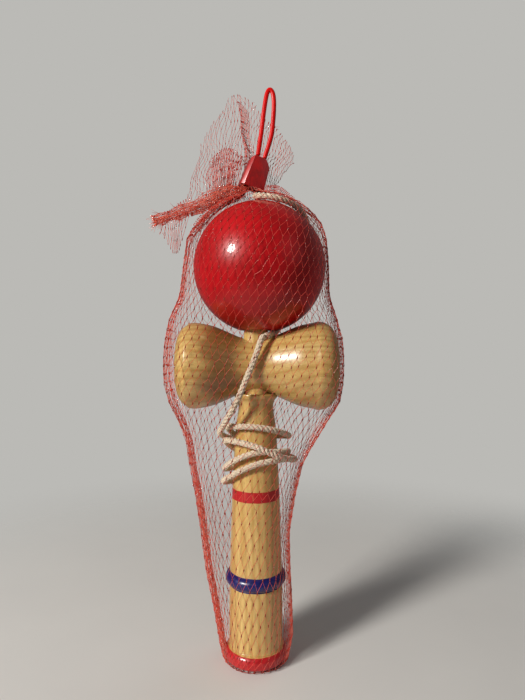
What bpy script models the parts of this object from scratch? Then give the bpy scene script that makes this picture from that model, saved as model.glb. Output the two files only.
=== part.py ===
"""Cup-and-ball toy on its handle, packed in a net bag that a clip with a hang loop closes.

The frame: origin at the centre of the bag's flat bottom, +Z up the handle, +X to the bigger cup,
-Y to the front, where the string crosses the cross cup. Lengths are in metres; MM turns
millimetres into metres.
"""
import math

import bmesh
import bpy
from mathutils import Matrix, Vector

MM = 0.001
GAP = 0.3 * MM                      # clearance between pieces that touch on the real toy
TURN_STEPS = 30                     # facets round a turned piece

# Netting
NET_THICK = 0.5 * MM
NET_SEGMENTS = 32
NET_BOTTOM_SHARE = 0.88             # size of the bag's flat bottom, as a share of its lowest section

# Handle, a single turned stick
FOOT_Z = NET_THICK + 0.4 * MM
FOOT_R = 12.5 * MM
FOOT_H = 5.6 * MM
FOOT_DISH_R = 9.6 * MM
FOOT_DISH_DEPTH = 4.0 * MM
GRIP_LOW_R = 10.85 * MM
RING_Z = 33.4 * MM                  # the raised ring that is painted blue
RING_R = 12.3 * MM
RING_HALF_H = 2.8 * MM
GRIP_MID_R = 10.25 * MM
GRIP_MID_Z = 48.0 * MM
BAND_R = 9.65 * MM                  # under the red band
BAND_Z = 67.3 * MM
GRIP_HIGH_R = 8.3 * MM
GRIP_HIGH_Z = 92.6 * MM
NECK_R = 7.1 * MM
NECK_Z = 101.5 * MM
COLLAR_R = 8.9 * MM
COLLAR_Z = 107.85 * MM
SPIKE_BASE_R = 6.0 * MM
SPIKE_MID_R = 4.0 * MM
SPIKE_MID_Z = 147.0 * MM
SPIKE_TIP_R = 2.5 * MM
SPIKE_TIP_Z = 163.5 * MM

# Cross cup, turned about an axis along X
CUP_Z = 119.0 * MM
WAIST_R = 10.75 * MM
SMALL_END_X = -31.5 * MM
SMALL_MAX_R = 17.4 * MM
SMALL_RIM_R = SMALL_MAX_R - 5.6 * MM
BIG_END_X = 32.7 * MM
BIG_MAX_R = 18.0 * MM
BIG_RIM_R = BIG_MAX_R - 6.4 * MM
DISH_DEPTH = 5.5 * MM
BORE_LOW_R = 6.55 * MM              # the tapered bore for the spike, 4 mm below the waist
BORE_HIGH_R = 5.45 * MM
BORE_LENGTH = 30.0 * MM

# Ball, which sits a little to the right on the spike
BALL_X = 1.5 * MM
BALL_Z = 159.0 * MM
BALL_R = 26.8 * MM
MOUTH_R = 8.0 * MM
HOLE_END_R = 5.8 * MM
HOLE_END_Z = 178.0 * MM
STRING_HOLE_R = 1.75 * MM
COUNTERSINK_R = 3.2 * MM
COUNTERSINK_DEPTH = 1.4 * MM

# String, the bead it ends in and its knots
STRING_R = 1.25 * MM
STRING_BEAD_R = 4.2 * MM
STRING_BEAD_Z = 174.2 * MM
BEAD_KNOT_R = 1.9 * MM
BEAD_KNOT_Z = STRING_BEAD_Z - STRING_BEAD_R - BEAD_KNOT_R - GAP
ANCHOR_HOLE_R = 1.7 * MM
ANCHOR_KNOT_R = 2.0 * MM
ANCHOR_KNOT_Y = -3.55 * MM
COUNTERBORE_R = 2.4 * MM
COUNTERBORE_LENGTH = 8.0 * MM
COUNTERBORE_END_Y = -1.3 * MM
CUP_STRING_HOLE_R = 2.1 * MM

# Clip
CLIP_PIVOT = Vector((-2.2, 0.0, 191.4)) * MM
CLIP_TILT = math.radians(18.5)
CLIP_TURN = math.radians(18.0)      # about the clip's own axis
CLIP_SIZE = Vector((9.8, 6.6, 12.6)) * MM
CLIP_TOP_SHARE = 0.8                # width of the collar's top, as a share of its open end's
CLIP_WALL = 0.9 * MM
CLIP_HOLLOW_H = 8.0 * MM
CLIP_SHOULDERS = (1.2 * MM, 2.7 * MM)   # the left and right top corners are cut off by this much
LOOP_R = 0.8 * MM
LOOP_HALF_GAUGE = 1.5 * MM          # half the distance between the loop's two roots
LOOP_GAP = 0.4 * MM

# The bag's sections up from the floor: height, then its reach to the left, right, front and back of
# the handle's axis, all in millimetres, and how boxy the section is (2 is an ellipse).
NET_STATIONS = [
    (1.0, 13.0, 13.0, 12.9, 12.9, 2.0),
    (4.0, 13.9, 14.0, 13.6, 13.6, 2.0),
    (10.0, 15.0, 15.2, 13.2, 13.2, 2.0),
    (27.0, 18.2, 14.7, 13.1, 13.1, 2.0),
    (35.0, 20.0, 14.2, 13.4, 13.4, 2.0),
    (52.0, 22.2, 13.8, 12.6, 13.0, 2.1),
    (68.0, 24.6, 16.5, 13.4, 16.6, 2.2),
    (80.0, 27.0, 19.4, 14.8, 19.4, 2.2),
    (89.0, 28.3, 24.6, 15.8, 20.2, 2.3),
    (97.0, 31.3, 29.3, 17.2, 19.8, 2.6),
    (105.0, 34.5, 33.6, 19.2, 20.2, 4.4),
    (113.0, 36.0, 34.4, 20.6, 21.2, 5.8),
    (121.0, 36.0, 34.6, 21.4, 22.2, 5.9),
    (130.0, 35.6, 34.2, 22.8, 23.8, 4.6),
    (138.0, 34.4, 32.4, 24.8, 26.2, 3.0),
    (147.0, 30.8, 29.8, 27.2, 29.8, 2.3),
    (160.0, 29.2, 29.5, 28.4, 31.6, 2.2),
    (170.5, 27.8, 28.6, 27.6, 29.8, 2.2),
]
NET_DOME_R = BALL_R + 2 * STRING_R + 2 * GAP + NET_THICK
NET_DOME_LOW_Z = 176.0 * MM
NET_DOME_HIGH_Z = 188.0 * MM
NET_NECK_R = 2.0 * MM
NET_NECK_LOW_Z = 190.2 * MM
NET_NECK_HIGH_Z = 192.6 * MM


# ---------------------------------------------------------------- helpers
def clear_scene():
    for old in list(bpy.data.objects):
        bpy.data.objects.remove(old, do_unlink=True)


def new_collection(name):
    made = bpy.data.collections.new(name)
    bpy.context.scene.collection.children.link(made)
    return made


clear_scene()
PARTS = new_collection("net_bagged_cup_and_ball")
CUTTERS = new_collection("cutters")


def material(name, colour, roughness, metallic=0.0):
    made = bpy.data.materials.new(name)
    made.use_nodes = True
    shader = made.node_tree.nodes["Principled BSDF"]
    shader.inputs["Base Color"].default_value = (*colour, 1.0)
    shader.inputs["Roughness"].default_value = roughness
    shader.inputs["Metallic"].default_value = metallic
    return made


def add_object(name, data, finish, origin=(0.0, 0.0, 0.0)):
    made = bpy.data.objects.new(name, data)
    made.location = origin
    data.materials.append(finish)
    PARTS.objects.link(made)
    return made


def in_mm(points):
    return [Vector(p) * MM for p in points]


def arc(centre, radius, start_deg, end_deg, count):
    """Points (r, z) on an arc about centre, from start_deg to end_deg, in count steps."""
    points = []
    for i in range(count + 1):
        turn = math.radians(start_deg + (end_deg - start_deg) * i / count)
        points.append((centre[0] + radius * math.cos(turn), centre[1] + radius * math.sin(turn)))
    return points


def sphere_height(radius, at):
    """Height of a sphere above its middle, at a distance from its axis."""
    return math.sqrt(max(radius ** 2 - at ** 2, 0.0))


def spline(points, per_span):
    """Catmull-Rom curve through the points, with per_span steps between neighbours."""
    padded = [points[0] * 2 - points[1]] + points + [points[-1] * 2 - points[-2]]
    made = []
    for i in range(1, len(padded) - 2):
        before, here, there, after = padded[i - 1:i + 3]
        for k in range(per_span):
            t = k / per_span
            made.append(0.5 * (2 * here + (there - before) * t
                               + (2 * before - 5 * here + 4 * there - after) * t ** 2
                               + (3 * here - before - 3 * there + after) * t ** 3))
    return made + [points[-1]]


def turned(name, profile, finish, origin=(0.0, 0.0, 0.0), closed=False, steps=TURN_STEPS):
    """A lathe-turned piece: a profile of (r, z) points, top to bottom, under a Screw modifier."""
    mesh = bpy.data.meshes.new(name)
    edges = [(i, i + 1) for i in range(len(profile) - 1)]
    if closed:
        edges.append((len(profile) - 1, 0))
    mesh.from_pydata([(r, 0.0, z) for r, z in profile], edges, [])
    made = add_object(name, mesh, finish, origin)
    screw = made.modifiers.new("turn", "SCREW")
    screw.axis = "Z"
    screw.angle = math.tau
    screw.steps = steps
    screw.render_steps = steps
    screw.use_merge_vertices = True
    screw.merge_threshold = 0.00001
    screw.use_smooth_shade = True
    return made


def tube(name, points, radius, finish, origin=(0.0, 0.0, 0.0), swell=None):
    """A cord or strand along the points, with capped ends. swell gives a radius factor for each point."""
    data = bpy.data.curves.new(name, "CURVE")
    data.dimensions = "3D"
    data.bevel_depth = radius
    data.bevel_resolution = 2
    data.use_fill_caps = True
    line = data.splines.new("POLY")
    line.points.add(len(points) - 1)
    for i, point in enumerate(points):
        line.points[i].co = (*(point - Vector(origin)), 1.0)
        line.points[i].radius = swell[i] if swell else 1.0
    return add_object(name, data, finish, origin)


def solid_knot(name, radius, place, finish):
    mesh = bpy.data.meshes.new(name)
    work = bmesh.new()
    bmesh.ops.create_uvsphere(work, u_segments=14, v_segments=8, radius=radius)
    work.to_mesh(mesh)
    work.free()
    mesh.shade_smooth()
    return add_object(name, mesh, finish, place)


def clip_box(name, size, place, shoulders=()):
    """A box centred on place that narrows upwards; shoulders slope its left and right top edges."""
    mesh = bpy.data.meshes.new(name)
    work = bmesh.new()
    bmesh.ops.create_cube(work, size=1.0)
    bmesh.ops.scale(work, vec=size, verts=work.verts)
    bmesh.ops.translate(work, vec=place, verts=work.verts)
    top = max(v.co.z for v in work.verts) - 0.1 * MM
    for side, slope in zip((-1, 1), shoulders):
        edges = [e for e in work.edges if min(v.co.z for v in e.verts) > top
                 and min(v.co.x * side for v in e.verts) > size.x / 2 - 0.1 * MM]
        bmesh.ops.bevel(work, geom=edges, offset=slope, segments=1, affect="EDGES")
    for v in work.verts:
        v.co.x *= 1.0 - (1.0 - CLIP_TOP_SHARE) * v.co.z / CLIP_SIZE.z
    work.to_mesh(mesh)
    work.free()
    return mesh


def frustum(length, low_r, high_r, steps=24):
    """A closed cone along Z from z = 0 to z = length."""
    mesh = bpy.data.meshes.new("frustum")
    work = bmesh.new()
    bmesh.ops.create_cone(work, cap_ends=True, segments=steps, radius1=low_r, radius2=high_r,
                          depth=length, matrix=Matrix.Translation((0.0, 0.0, length / 2)))
    work.to_mesh(mesh)
    work.free()
    return mesh


def cut(target, name, mesh, matrix):
    """Cuts the mesh, placed by matrix, out of the target object."""
    cutter = bpy.data.objects.new(name, mesh)
    cutter.matrix_world = matrix
    cutter.hide_render = True
    cutter.display_type = "WIRE"
    CUTTERS.objects.link(cutter)
    step = target.modifiers.new("cut_" + name, "BOOLEAN")
    step.operation = "DIFFERENCE"
    step.solver = "EXACT"
    step.object = cutter


def along_y(start_y):
    """Lays a frustum along +Y at the anchor hole's height, starting at start_y."""
    return Matrix.Translation((0.0, start_y, CUP_Z)) @ Matrix.Rotation(-math.pi / 2, 4, "X")


# ---------------------------------------------------------------- handle
def handle_profile():
    """Outer line of the stick from the spike's tip to the foot, then up the dish under the foot."""
    tip = [(0.0, SPIKE_TIP_Z)]
    tip += arc((0.0, SPIKE_TIP_Z - SPIKE_TIP_R), SPIKE_TIP_R, 65, 12, 3)
    spike = [(SPIKE_MID_R, SPIKE_MID_Z), (SPIKE_BASE_R, COLLAR_Z + 1.2 * MM), (SPIKE_BASE_R, COLLAR_Z)]
    collar = [(COLLAR_R - 0.5 * MM, COLLAR_Z), (COLLAR_R, COLLAR_Z - 0.6 * MM),
              (COLLAR_R - 0.3 * MM, COLLAR_Z - 1.7 * MM), (NECK_R + 0.45 * MM, COLLAR_Z - 3.2 * MM)]
    grip = [(NECK_R, NECK_Z), (GRIP_HIGH_R, GRIP_HIGH_Z), (9.3 * MM, 74.0 * MM), (BAND_R, BAND_Z),
            (GRIP_MID_R, GRIP_MID_Z), (GRIP_LOW_R - 0.2 * MM, RING_Z + RING_HALF_H)]
    ring = arc((RING_R - RING_HALF_H, RING_Z), RING_HALF_H, 62, -62, 6)
    low = [(GRIP_LOW_R - 0.1 * MM, RING_Z - RING_HALF_H), (GRIP_LOW_R, FOOT_Z + FOOT_H + 0.8 * MM),
           (GRIP_LOW_R + 0.25 * MM, FOOT_Z + FOOT_H)]
    round_r = FOOT_H / 2
    foot = arc((FOOT_R - round_r, FOOT_Z + round_r), round_r, 60, -70, 6)
    rim = [(FOOT_R - round_r, FOOT_Z), (FOOT_DISH_R + 0.4 * MM, FOOT_Z)]
    dish = []
    steps = 5
    for i in range(steps + 1):
        share = math.cos(math.radians(90.0 * i / steps))
        dish.append((FOOT_DISH_R * share, FOOT_Z + 0.2 * MM + FOOT_DISH_DEPTH * (1.0 - share ** 2)))
    return tip + spike + collar + grip + ring + low + foot + rim + dish


def build_handle():
    handle = turned("handle", handle_profile(), material("handle_wood", (0.62, 0.40, 0.17), 0.35))
    through = 30 * MM
    cut(handle, "anchor_hole", frustum(through, ANCHOR_HOLE_R, ANCHOR_HOLE_R, 20), along_y(-through / 2))
    cut(handle, "knot_counterbore", frustum(COUNTERBORE_LENGTH, COUNTERBORE_R, COUNTERBORE_R, 20),
        along_y(COUNTERBORE_END_Y - COUNTERBORE_LENGTH))


# ---------------------------------------------------------------- cross cup
def cross_cup_profile():
    """Line of the hourglass from the big cup's dish, over its rim and waist, to the small cup's dish."""
    lip = 0.7 * MM
    big_dish = []
    small_dish = []
    steps = 6
    for i in range(steps):
        share = math.sin(math.radians(90.0 * i / steps))
        depth = 0.3 * MM + DISH_DEPTH * (1.0 - share ** 2)
        big_dish.append(((BIG_RIM_R - 2 * lip) * share, BIG_END_X - depth))
        small_dish.append(((SMALL_RIM_R - 2 * lip) * share, SMALL_END_X + depth))
    big_cup = [(BIG_RIM_R - lip, BIG_END_X - 0.05 * MM), (BIG_RIM_R, BIG_END_X),
               (BIG_RIM_R + 2.2 * MM, BIG_END_X - 0.8 * MM), (BIG_MAX_R - 2.1 * MM, BIG_END_X - 2.2 * MM),
               (BIG_MAX_R - 0.6 * MM, BIG_END_X - 4.4 * MM), (BIG_MAX_R, BIG_END_X - 7.4 * MM),
               (BIG_MAX_R - 0.55 * MM, 23.0 * MM), (16.3 * MM, 17.6 * MM), (14.0 * MM, 12.0 * MM)]
    waist = [(11.9 * MM, 7.0 * MM), (WAIST_R + 0.15 * MM, 3.0 * MM), (WAIST_R, 0.0),
             (WAIST_R + 0.15 * MM, -3.0 * MM), (12.0 * MM, -7.4 * MM)]
    small_cup = [(14.2 * MM, -12.5 * MM), (16.2 * MM, -17.5 * MM), (SMALL_MAX_R, -23.5 * MM),
                 (SMALL_MAX_R - 0.1 * MM, -27.0 * MM), (SMALL_MAX_R - 0.6 * MM, SMALL_END_X + 4.0 * MM),
                 (SMALL_MAX_R - 2.0 * MM, SMALL_END_X + 2.0 * MM),
                 (SMALL_RIM_R + 1.8 * MM, SMALL_END_X + 0.7 * MM), (SMALL_RIM_R, SMALL_END_X),
                 (SMALL_RIM_R - lip, SMALL_END_X + 0.05 * MM)]
    return big_dish + big_cup + waist + small_cup + small_dish[::-1]


def build_cross_cup():
    finish = material("cup_wood", (0.60, 0.37, 0.15), 0.33)
    cup = turned("cross_cup", cross_cup_profile(), finish, (0.0, 0.0, CUP_Z))
    cup.rotation_euler = (0.0, math.pi / 2, 0.0)
    seat_r = COLLAR_R + GAP
    seat_h = 12 * MM
    cut(cup, "collar_seat", frustum(seat_h, seat_r, seat_r, 36),
        Matrix.Translation((0.0, 0.0, COLLAR_Z + GAP - seat_h)))
    cut(cup, "spike_bore", frustum(BORE_LENGTH, BORE_LOW_R, BORE_HIGH_R, 30),
        Matrix.Translation((0.0, 0.0, CUP_Z - WAIST_R - 4 * MM)))
    cut(cup, "string_hole", frustum(16 * MM, CUP_STRING_HOLE_R, CUP_STRING_HOLE_R, 20), along_y(0.0))


# ---------------------------------------------------------------- ball
def build_ball():
    top = math.degrees(math.acos(COUNTERSINK_R / BALL_R))
    bottom = math.degrees(math.acos(MOUTH_R / BALL_R))
    outside = arc((0.0, 0.0), BALL_R, top, -bottom, 20)
    hole = [(HOLE_END_R, HOLE_END_Z - BALL_Z), (STRING_HOLE_R, HOLE_END_Z - BALL_Z + 2.6 * MM),
            (STRING_HOLE_R, sphere_height(BALL_R, COUNTERSINK_R) - COUNTERSINK_DEPTH)]
    turned("ball", outside + hole, material("ball_lacquer", (0.45, 0.01, 0.02), 0.15),
           (BALL_X, 0.0, BALL_Z), closed=True, steps=36)


def build_string_bead():
    half = math.degrees(math.acos(STRING_HOLE_R / STRING_BEAD_R))
    turned("string_bead", arc((0.0, 0.0), STRING_BEAD_R, half, -half, 8),
           material("bead_wood", (0.66, 0.48, 0.26), 0.5), (BALL_X, 0.0, STRING_BEAD_Z), closed=True,
           steps=18)


# ---------------------------------------------------------------- string
def over_ball(across, along):
    """A point of the string lying on the ball's upper half, at plan offsets from the ball's axis."""
    reach = BALL_R + GAP + STRING_R
    return Vector((BALL_X + across, along, BALL_Z + sphere_height(reach, math.hypot(across, along))))


def under_ball(across, along):
    """The same on the ball's lower half, where the string hangs a little clear."""
    reach = BALL_R + GAP + STRING_R + 0.15 * MM
    return Vector((BALL_X + across, along, BALL_Z - sphere_height(reach, math.hypot(across, along))))


def round_handle(turn_deg, radius, height):
    """A point round the handle; turn_deg runs from the front over the left side to the back."""
    turn = math.radians(turn_deg)
    return Vector((-radius * math.sin(turn), -radius * math.cos(turn), height))


def string_over_ball_line():
    """From the bead up through the ball, over its top, down its back and under it to the front."""
    inside = [Vector((BALL_X, 0.0, BEAD_KNOT_Z + BEAD_KNOT_R + GAP)),
              Vector((BALL_X, 0.0, 178.0 * MM)), Vector((BALL_X, 0.0, 183.6 * MM)),
              Vector((BALL_X - 0.25 * MM, -0.7 * MM, 186.1 * MM))]
    top = [over_ball(x * MM, y * MM) for x, y in
           ((-1.5, -3.4), (-1.2, -7.0), (2.0, -9.4), (6.4, -9.6), (10.8, -7.6), (15.2, -3.6),
            (18.6, 2.0), (20.6, 8.6), (20.4, 14.6), (18.2, 20.2), (15.6, 23.4))]
    behind = [under_ball(x * MM, y * MM) for x, y in ((14.3, 24.2), (13.2, 23.2), (11.4, 20.2), (9.6, 15.4))]
    below = in_mm([(8.2, 9.8, 132.5), (6.7, 4.0, 132.1), (6.9, -0.6, 132.6), (5.9, -5.4, 131.6),
                   (3.6, -8.6, 130.9)])
    return inside + top + behind + below


def string_on_handle_line():
    """Down across the cross cup, four loose turns round the handle, then up the back to the knot."""
    front = in_mm([(2.4, -10.1, 129.9), (1.2, -12.0, 126.5), (-0.4, -12.9, 122.0), (-2.2, -13.1, 117.5),
                   (-4.4, -12.9, 112.0), (-7.0, -12.4, 106.0), (-10.0, -11.2, 100.5)])
    turns = [round_handle(turn, r * MM, z * MM) for turn, r, z in
             ((58, 15.0, 95.6), (92, 14.6, 91.0), (135, 14.2, 87.6), (180, 14.2, 87.2), (225, 14.0, 88.6),
              (270, 13.4, 90.4), (315, 10.8, 93.6), (360, 10.2, 95.3), (405, 10.8, 95.2), (450, 11.6, 93.8),
              (495, 11.2, 88.6), (540, 12.4, 84.6), (585, 14.9, 81.4), (630, 15.9, 80.8), (675, 14.6, 83.4),
              (697, 14.2, 85.8), (720, 13.0, 88.2), (765, 11.7, 89.6), (810, 12.6, 88.2), (855, 12.0, 83.0),
              (900, 11.3, 80.4),
              (945, 12.0, 81.8), (990, 13.2, 83.9), (1035, 11.4, 85.2), (1080, 10.6, 85.4),
              (1125, 11.6, 82.0), (1170, 12.6, 77.0), (1215, 11.8, 75.6), (1260, 11.3, 76.6),
              (1305, 12.0, 78.8), (1350, 13.0, 80.9), (1395, 11.4, 81.9), (1440, 10.8, 80.8),
              (1485, 12.0, 76.6), (1530, 13.2, 71.8), (1570, 13.0, 69.8))]
    back = in_mm([(-7.0, 13.6, 71.6), (-3.4, 16.2, 76.5), (-1.6, 17.2, 83.5), (-0.8, 17.2, 91.0),
                  (-0.2, 15.8, 100.0), (0.0, 14.4, 108.5), (0.0, 14.2, 114.0), (0.0, 13.4, 117.4),
                  (0.0, 11.0, 119.0), (0.0, 7.0, 119.0), (0.0, -1.1, 119.0)])
    return front + turns + back


def build_string():
    cotton = material("string_cotton", (0.72, 0.62, 0.45), 0.9)
    tube("string_over_ball", spline(string_over_ball_line(), 2), STRING_R, cotton)
    tube("string_on_handle", spline(string_on_handle_line(), 2), STRING_R, cotton)
    solid_knot("bead_knot", BEAD_KNOT_R, (BALL_X, 0.0, BEAD_KNOT_Z), cotton)
    solid_knot("anchor_knot", ANCHOR_KNOT_R, (0.0, ANCHOR_KNOT_Y, CUP_Z), cotton)


# ---------------------------------------------------------------- net
def net_rows():
    """(height, left, right, front, back, boxiness, centre x) from the lowest section to the neck."""
    rows = [[v * MM for v in row[:5]] + [row[5], 0.0] for row in NET_STATIONS]
    steps = 4
    for i in range(steps + 1):
        height = NET_DOME_LOW_Z + (NET_DOME_HIGH_Z - NET_DOME_LOW_Z) * i / steps
        reach = sphere_height(NET_DOME_R, height - BALL_Z)
        rows.append([height, reach, reach, reach, reach, 2.0, BALL_X])
    for height, reach in ((NET_NECK_LOW_Z, NET_NECK_R + 0.6 * MM), (NET_NECK_HIGH_Z, NET_NECK_R)):
        centre = CLIP_PIVOT.x + (height - CLIP_PIVOT.z) * math.tan(CLIP_TILT)
        rows.append([height, reach, reach, reach, reach, 2.0, centre])
    return rows


def superellipse(row, turn):
    """A point of a section; turn goes once round it, from +X towards +Y."""
    height, left, right, front, back, boxy, centre = row
    c = math.cos(turn)
    s = math.sin(turn)
    half_x = right if c >= 0 else left
    half_y = back if s >= 0 else front
    across = math.copysign(abs(c) ** (2.0 / boxy), c)
    along = math.copysign(abs(s) ** (2.0 / boxy), s)
    return Vector((centre + half_x * across, half_y * along, height))


def loft(work, rings):
    """Faces between closed rings of vertices."""
    for low, high in zip(rings, rings[1:]):
        for i in range(len(low)):
            j = (i + 1) % len(low)
            work.faces.new((low[i], low[j], high[j], high[i]))


def build_net_bag(netting):
    """A loft through the sections with a flat bottom, thickened inwards. The neck stays open."""
    turns = [math.tau * i / NET_SEGMENTS for i in range(NET_SEGMENTS)]
    rows = net_rows()
    work = bmesh.new()
    rings = [[work.verts.new(superellipse(row, turn)) for turn in turns] for row in rows]
    flat = [work.verts.new((v.co.x * NET_BOTTOM_SHARE, v.co.y * NET_BOTTOM_SHARE, 0.0)) for v in rings[0]]
    loft(work, [flat] + rings)
    work.faces.new(flat[::-1])
    bmesh.ops.recalc_face_normals(work, faces=work.faces)
    mesh = bpy.data.meshes.new("net_bag")
    work.to_mesh(mesh)
    work.free()
    mesh.shade_smooth()
    bag = add_object("net_bag", mesh, netting)
    shell = bag.modifiers.new("netting", "SOLIDIFY")
    shell.thickness = NET_THICK
    shell.offset = -1.0
    shell.use_even_offset = True


def build_net_tail(netting):
    """The bunched mouth of the net that sweeps to the left from under the clip."""
    line = spline(in_mm([(-7.6, -0.4, 190.2), (-13.0, -1.2, 189.4), (-20.0, -2.2, 187.0),
                         (-28.0, -3.2, 184.0), (-35.0, -3.8, 181.2), (-41.5, -4.2, 179.0)]), 3)
    root_r = 1.3 * MM
    belly = 1.3                     # how much thicker than its root the bunch gets
    swell = []
    for i in range(len(line)):
        share = min(1.15 * i / (len(line) - 1), 1.0)
        swell.append(1.0 + belly * math.sin(math.pi * share) ** 0.8)
    tube("net_tail", line, root_r, netting, CLIP_PIVOT, swell)


def build_net_frill(netting):
    """The loose sheet of netting that stands up behind the clip, a curved fan."""
    low = spline(in_mm([(-28.0, 7.0, 187.0), (-16.0, 6.0, 192.5), (-4.0, 5.8, 192.0), (5.0, 6.6, 194.0)]), 3)
    high = spline(in_mm([(-26.0, 11.0, 207.0), (-12.0, 12.5, 222.0), (-4.0, 12.0, 228.0),
                         (10.0, 10.0, 216.0)]), 3)
    steps = 5
    bulge = 2.0 * MM
    work = bmesh.new()
    rows = []
    for k in range(steps + 1):
        share = k / steps
        shift = Vector((0.0, -bulge * math.sin(math.pi * share), 0.0)) - CLIP_PIVOT
        rows.append([work.verts.new(a.lerp(b, share) + shift) for a, b in zip(low, high)])
    for near, far in zip(rows, rows[1:]):
        for i in range(len(near) - 1):
            work.faces.new((near[i], near[i + 1], far[i + 1], far[i]))
    mesh = bpy.data.meshes.new("net_frill")
    work.to_mesh(mesh)
    work.free()
    mesh.shade_smooth()
    frill = add_object("net_frill", mesh, netting, CLIP_PIVOT)
    sheet = frill.modifiers.new("netting", "SOLIDIFY")
    sheet.thickness = NET_THICK
    sheet.offset = 0.0


# ---------------------------------------------------------------- clip
def clip_frame():
    """The clip's own frame: origin at its pivot, +Z up its tilted axis."""
    tilt = Matrix.Rotation(CLIP_TILT, 4, "Y") @ Matrix.Rotation(CLIP_TURN, 4, "Z")
    return Matrix.Translation(CLIP_PIVOT) @ tilt


def build_clip_collar():
    """A hollow ferrule, open below, with sloping shoulders and a closed top."""
    plastic = material("clip_plastic", (0.70, 0.03, 0.02), 0.25)
    mesh = clip_box("clip_collar", CLIP_SIZE, (0.0, 0.0, CLIP_SIZE.z / 2), CLIP_SHOULDERS)
    collar = add_object("clip_collar", mesh, plastic, CLIP_PIVOT)
    collar.rotation_mode = "ZYX"
    collar.rotation_euler = (0.0, CLIP_TILT, CLIP_TURN)
    rounding = collar.modifiers.new("rounding", "BEVEL")
    rounding.width = 0.55 * MM
    rounding.segments = 2
    below = 1.0 * MM                # how far the cutter starts below the collar's open end
    inside = Vector((CLIP_SIZE.x - 2 * CLIP_WALL, CLIP_SIZE.y - 2 * CLIP_WALL, CLIP_HOLLOW_H + below))
    hollow = clip_box("collar_hollow", inside, (0.0, 0.0, (CLIP_HOLLOW_H - below) / 2))
    cut(collar, "collar_hollow", hollow, clip_frame())


def build_clip_loop():
    """The hang loop, a strand that rises from the collar's top and comes back to it."""
    plastic = material("loop_plastic", (0.70, 0.04, 0.03), 0.3)
    height = CLIP_SIZE.z + LOOP_R + LOOP_GAP
    hinge = clip_frame() @ Vector((0.0, 0.0, height))
    left = clip_frame() @ Vector((-LOOP_HALF_GAUGE, 0.0, height))
    right = clip_frame() @ Vector((LOOP_HALF_GAUGE, 0.0, height))
    strand = in_mm([(2.1, 0.0, 213.5), (3.3, 0.0, 223.2), (4.4, 0.0, 229.8), (5.6, 0.0, 232.0),
                    (6.9, 0.0, 230.6), (7.4, 0.0, 226.6), (7.1, 0.0, 219.6), (6.2, 0.0, 212.6)])
    tube("clip_loop", spline([left] + strand + [right], 4), LOOP_R, plastic, hinge)


if __name__ == "__main__":
    build_handle()
    build_cross_cup()
    build_ball()
    build_string_bead()
    build_string()
    build_net_bag(material("bag_netting", (0.75, 0.07, 0.05), 0.45))
    build_net_tail(material("tail_netting", (0.75, 0.07, 0.05), 0.45))
    build_net_frill(material("frill_netting", (0.80, 0.20, 0.16), 0.5))
    build_clip_collar()
    build_clip_loop()
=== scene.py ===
"""Looks of the net-bagged cup-and-ball toy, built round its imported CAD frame.

The axes are the row frame's: origin at the centre of the bag's flat bottom, +Z up the handle, +X to the
bigger cup, -Y to the front. Shapes are worked out in millimetres and become metres when they enter the
scene. The stage is in metres.
"""
import math

import bmesh
import bpy
import numpy as np
from mathutils import Matrix, Vector, noise
from mathutils.bvhtree import BVHTree


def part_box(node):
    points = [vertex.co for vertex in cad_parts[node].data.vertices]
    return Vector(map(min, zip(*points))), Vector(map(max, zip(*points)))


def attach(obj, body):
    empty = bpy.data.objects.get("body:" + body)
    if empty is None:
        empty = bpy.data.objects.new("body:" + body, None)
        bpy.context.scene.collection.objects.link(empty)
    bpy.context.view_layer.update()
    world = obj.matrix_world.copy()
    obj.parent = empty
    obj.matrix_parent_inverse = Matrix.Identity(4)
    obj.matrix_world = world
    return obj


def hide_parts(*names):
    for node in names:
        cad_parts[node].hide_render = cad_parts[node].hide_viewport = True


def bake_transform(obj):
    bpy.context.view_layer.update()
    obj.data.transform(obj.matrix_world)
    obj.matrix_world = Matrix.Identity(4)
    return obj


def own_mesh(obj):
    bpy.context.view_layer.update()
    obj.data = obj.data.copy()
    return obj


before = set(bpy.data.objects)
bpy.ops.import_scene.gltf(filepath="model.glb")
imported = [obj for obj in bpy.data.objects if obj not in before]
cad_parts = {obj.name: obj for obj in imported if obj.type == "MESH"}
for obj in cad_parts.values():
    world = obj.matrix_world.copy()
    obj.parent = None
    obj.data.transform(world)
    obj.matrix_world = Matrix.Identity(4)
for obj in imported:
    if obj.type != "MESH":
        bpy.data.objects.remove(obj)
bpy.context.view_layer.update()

MM = 0.001  # a millimetre in metres
rng = np.random.default_rng(7)
noise.seed_set(11)

# Handle
FOOT_Z = 0.9
FOOT_R = 12.5
FOOT_H = 5.6
FOOT_LOW_ROUND = 1.5
FOOT_PAINT_Z = 5.9
FOOT_DISH_R = 9.6
FOOT_DISH_DEPTH = 4
GRIP_LOW_R = 10.85
RING_Z = 33.4
RING_R = 12.3
RING_HALF_H = 2.8
BAND_LOW_Z = 65.4
BAND_HIGH_Z = 69.6
COLLAR_R = 8.9
COLLAR_Z = 107.85
SPIKE_BASE_R = 6
SPIKE_TIP_R = 2.5
SPIKE_PROFILE = ((4, 147), (5.3, 125))  # (radius, height), downwards
GRIP_PROFILE = ((7.1, 101.5), (8.3, 92.6), (9.3, 74), (9.65, 67.3), (10.25, 48))
ANCHOR_HOLE_R = 1.7
COUNTERBORE_R = 2.4
COUNTERBORE_END_Y = -1.3

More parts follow.
